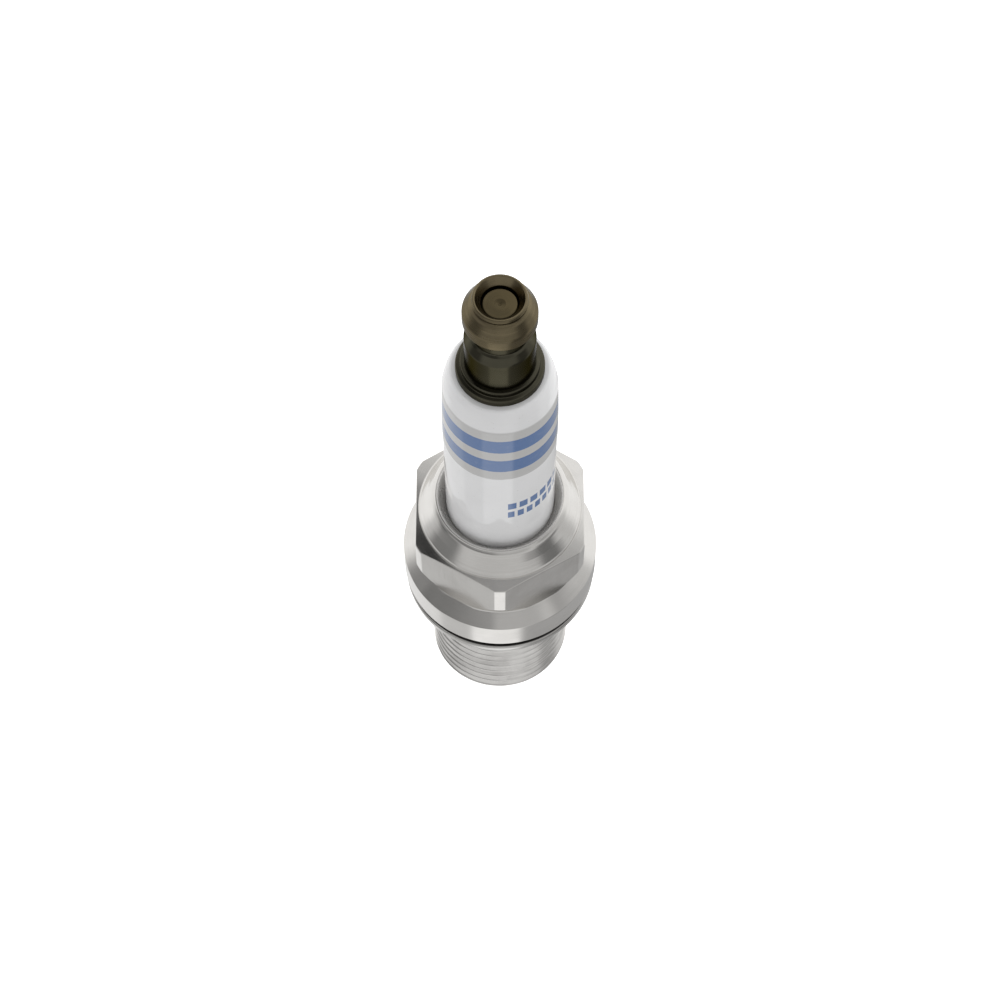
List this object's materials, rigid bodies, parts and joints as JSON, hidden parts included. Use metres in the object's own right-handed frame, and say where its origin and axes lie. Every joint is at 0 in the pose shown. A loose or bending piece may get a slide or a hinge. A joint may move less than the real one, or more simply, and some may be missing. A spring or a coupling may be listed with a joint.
{
  "type": "spark plug",
  "caption": "Long-reach resistor spark plug: domed terminal nut on a ribless white insulator, hexagon shell with crimped rim, captive gasket, fine thread and fine-wire electrodes.",
  "frame": {"origin": "on the plug's axis, in the plane of the shell's seat face (underside of the collar)", "axes": "+Z along the axis towards the terminal; the thread and firing end are on the -Z side; the ground electrode's leg is on the +Y side and a corner of the hexagon points to -Y"},
  "size_m": [0.0188, 0.0188, 0.0731],
  "materials": {
    "shell_steel": "bright nickel plate over turned steel",
    "gasket_steel": "satin zinc plate",
    "packing_steel": "plain wire",
    "talc": "pressed powder",
    "glazed_alumina": "white glaze with two printed blue rings",
    "seal_glass": "fused copper-filled glass",
    "resistor_glass": "fused carbon-filled glass",
    "nickel_alloy": "satin drawn wire",
    "copper": "plain drawn copper",
    "iridium": "fine ground wire",
    "bronzed_steel": "dark bronze plating over turned steel"
  },
  "bodies": {
    "plug": {"metal_shell": "shell_steel", "upper_packing_ring": "packing_steel", "talc_packing": "talc", "lower_packing_ring": "packing_steel", "seat_washer": "packing_steel", "insulator": "glazed_alumina", "upper_glass_seal": "seal_glass", "resistor": "resistor_glass", "lower_glass_seal": "seal_glass", "centre_electrode_sheath": "nickel_alloy", "centre_electrode_core": "copper", "centre_iridium_tip": "iridium", "terminal_stud": "bronzed_steel", "ground_electrode": "nickel_alloy", "ground_electrode_core": "copper", "ground_iridium_tip": "iridium"},
    "nut": {"terminal_nut": "bronzed_steel"},
    "gasket": {"sealing_gasket": "gasket_steel"}
  },
  "joints": [
    {"name": "terminal_nut_unscrew", "type": "slide", "parent": "plug", "child": "nut", "axis": [0, 0, 1], "range_m": [0, 0.009]},
    {"name": "gasket_float", "type": "slide", "parent": "plug", "child": "gasket", "axis": [0, 0, 1], "range_m": [0, 0.0003]}
  ]
}
